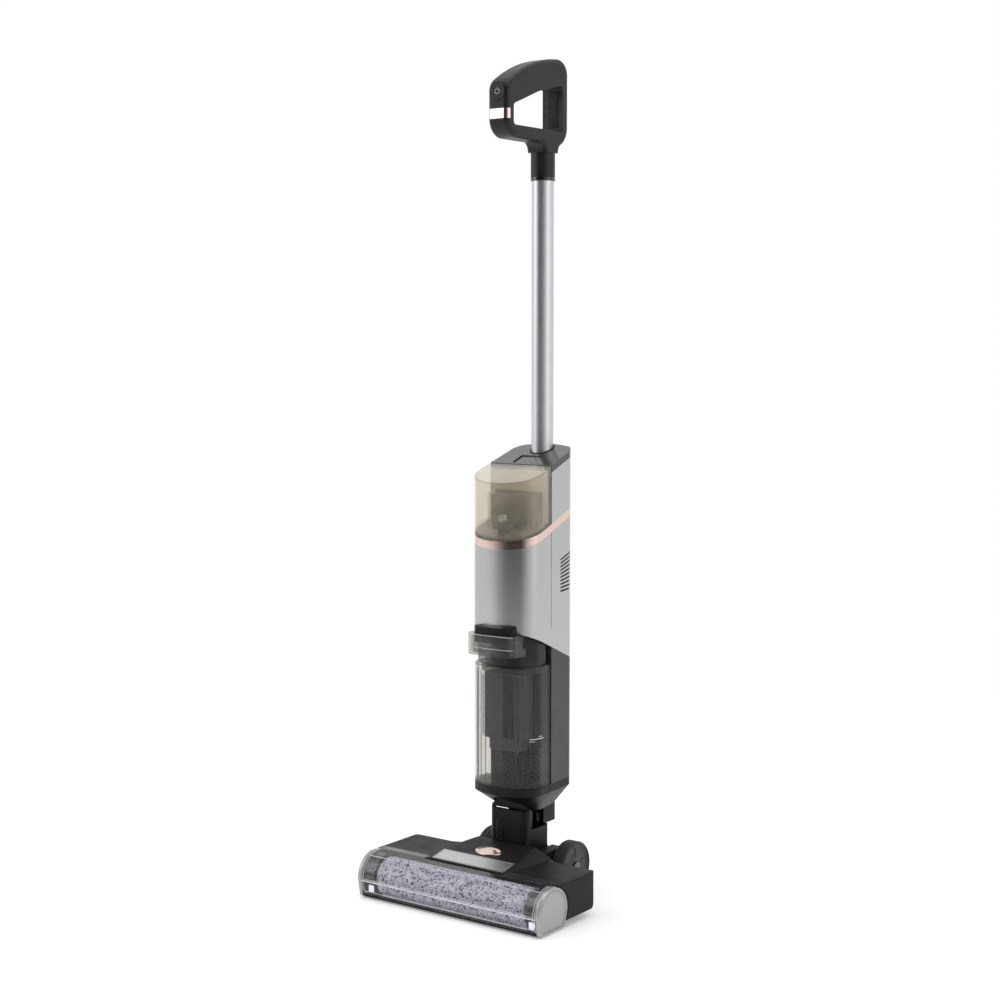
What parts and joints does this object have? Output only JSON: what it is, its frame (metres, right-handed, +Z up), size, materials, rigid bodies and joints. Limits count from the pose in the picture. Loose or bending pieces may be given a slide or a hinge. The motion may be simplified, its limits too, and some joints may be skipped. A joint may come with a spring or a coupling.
{
  "type": "wet dry floor scrubber",
  "caption": "Upright cordless wet dry floor scrubber with microfibre roller nozzle, swivel neck, clean and dirty water tanks, tube and loop handle.",
  "frame": {"origin": "centre of the footprint on the floor", "axes": "+Z up along the tube, -Y the way the nozzle faces, +X to the right of someone facing +Y"},
  "size_m": [0.29, 0.251, 1.095],
  "materials": {
    "black_plastic": "fine moulded texture",
    "satin_black": "satin",
    "cap_grey": "satin metallic paint",
    "clear_cover": "clear moulded",
    "lamp_lens": "clear",
    "label_silver": "satin",
    "rose_gold": "brushed plating",
    "spring_steel": "bright",
    "roller_core": "moulded",
    "microfibre": "fluffy nap",
    "motor_steel": "plated",
    "belt_rubber": "matte",
    "wheel_plastic": "moulded",
    "wheel_tyre": "soft",
    "hose_rubber": "ribbed",
    "shell_grey": "satin metallic",
    "fan_plastic": "moulded",
    "battery_plastic": "moulded",
    "cell_wrap": "shrink wrap",
    "board_green": "solder mask",
    "dirty_tank_smoke": "smoky clear",
    "separator_grey": "moulded",
    "clean_tank_amber": "champagne tint",
    "tube_aluminium": "satin anodised"
  },
  "bodies": {
    "nozzle": {"nozzle_housing": "black_plastic", "base_plate": "black_plastic", "end_cap_right": "cap_grey", "end_cap_left": "cap_grey", "lamp_housings": "black_plastic", "lamp_lenses": "lamp_lens", "label_plate": "label_silver", "brush_release_spring": "spring_steel", "roller_bearings": "black_plastic", "brush_motor": "motor_steel", "drive_belt": "belt_rubber", "squeegee": "belt_rubber", "base_screws": "spring_steel", "wheel_axles": "spring_steel", "recline_pins": "spring_steel"},
    "cover": {"brush_cover": "clear_cover"},
    "brush_button": {"brush_release_button": "rose_gold"},
    "roller": {"roller_core": "roller_core", "roller_nap": "microfibre", "brush_pulley": "roller_core"},
    "motor_rotor": {"motor_pulley": "roller_core"},
    "wheel_right": {"wheel_hub_right": "wheel_plastic", "tyre_right": "wheel_tyre"},
    "wheel_left": {"wheel_hub_left": "wheel_plastic", "tyre_left": "wheel_tyre"},
    "neck": {"neck_yoke": "black_plastic", "steer_pins": "spring_steel", "suction_hose": "hose_rubber"},
    "neck_release": {"neck_button": "black_plastic"},
    "upright": {"swivel_collar": "black_plastic", "tank_tray": "black_plastic", "chassis": "black_plastic", "front_shell": "shell_grey", "rear_shell": "shell_grey", "lower_rear_shell": "black_plastic", "accent_band": "rose_gold", "top_cap": "satin_black", "tank_bay_deck": "black_plastic", "tank_ceiling": "black_plastic", "suction_motor": "motor_steel", "battery_case": "battery_plastic", "battery_cells": "cell_wrap", "circuit_board": "board_green", "water_pump": "fan_plastic"},
    "fan": {"impeller": "fan_plastic"},
    "waste_tank": {"dirty_tank": "dirty_tank_smoke", "tank_lid": "black_plastic", "tank_collar": "dirty_tank_smoke", "inlet_tube": "dirty_tank_smoke", "separator": "separator_grey"},
    "waste_latch": {"tank_latch_button": "satin_black"},
    "water_tank": {"clean_tank": "clean_tank_amber", "tank_valve": "black_plastic"},
    "water_latch": {"clean_tank_latch": "satin_black"},
    "handle": {"handle_tube": "tube_aluminium", "handle_grip": "satin_black", "handle_front_cover": "satin_black", "handle_band": "rose_gold", "grip_pad": "belt_rubber"},
    "power_key": {"power_button": "satin_black"}
  },
  "joints": [
    {"name": "recline", "type": "hinge", "parent": "nozzle", "child": "neck", "pos_m": [0, 0.0395, 0.045], "axis": [-1, 0, 0], "range_deg": [0, 65]},
    {"name": "steer", "type": "hinge", "parent": "neck", "child": "upright", "pos_m": [0, 0.0395, 0.092], "axis": [0, 1, 0], "range_deg": [-25, 25]},
    {"name": "wheel_right_spin", "type": "hinge", "parent": "nozzle", "child": "wheel_right", "pos_m": [0.062, 0.0665, 0.0334], "axis": [1, 0, 0], "continuous": true},
    {"name": "wheel_left_spin", "type": "hinge", "parent": "nozzle", "child": "wheel_left", "pos_m": [-0.062, 0.0665, 0.0334], "axis": [1, 0, 0], "continuous": true},
    {"name": "roller_spin", "type": "hinge", "parent": "nozzle", "child": "roller", "pos_m": [0, -0.0935, 0.0265], "axis": [1, 0, 0], "continuous": true},
    {"name": "motor_spin", "type": "hinge", "parent": "nozzle", "child": "motor_rotor", "pos_m": [-0.124, -0.0305, 0.034], "axis": [1, 0, 0], "continuous": true},
    {"name": "cover_lift", "type": "slide", "parent": "nozzle", "child": "cover", "axis": [0, -0.3419, 0.9397], "range_m": [0, 0.045]},
    {"name": "brush_release", "type": "slide", "parent": "nozzle", "child": "brush_button", "axis": [0, 0, -1], "range_m": [0, 0.0015], "stiffness_N_per_m": 300, "deforming": ["brush_release_spring"]},
    {"name": "neck_release_press", "type": "slide", "parent": "neck", "child": "neck_release", "axis": [0, 1, 0], "range_m": [0, 0.0012], "stiffness_N_per_m": 300},
    {"name": "waste_tank_pull", "type": "slide", "parent": "upright", "child": "waste_tank", "axis": [0, -1, 0], "range_m": [0, 0.11]},
    {"name": "waste_latch_press", "type": "slide", "parent": "waste_tank", "child": "waste_latch", "axis": [0, 0, -1], "range_m": [0, 0.003], "stiffness_N_per_m": 300},
    {"name": "water_tank_lift", "type": "slide", "parent": "upright", "child": "water_tank", "axis": [0, 0, 1], "range_m": [0, 0.11]},
    {"name": "water_latch_press", "type": "slide", "parent": "upright", "child": "water_latch", "axis": [0, 0, -1], "range_m": [0, 0.002], "stiffness_N_per_m": 300},
    {"name": "fan_spin", "type": "hinge", "parent": "upright", "child": "fan", "pos_m": [0, 0.0125, 0.362], "axis": [0, 0, 1], "continuous": true},
    {"name": "handle_pull", "type": "slide", "parent": "upright", "child": "handle", "axis": [0, 0, 1], "range_m": [0, 0.09]},
    {"name": "power_press", "type": "slide", "parent": "handle", "child": "power_key", "axis": [0, 1, 0], "range_m": [0, 0.0015], "stiffness_N_per_m": 300}
  ],
  "couplings": [
    {"joint": "motor_spin", "follows": "roller_spin", "ratio": 2}
  ]
}
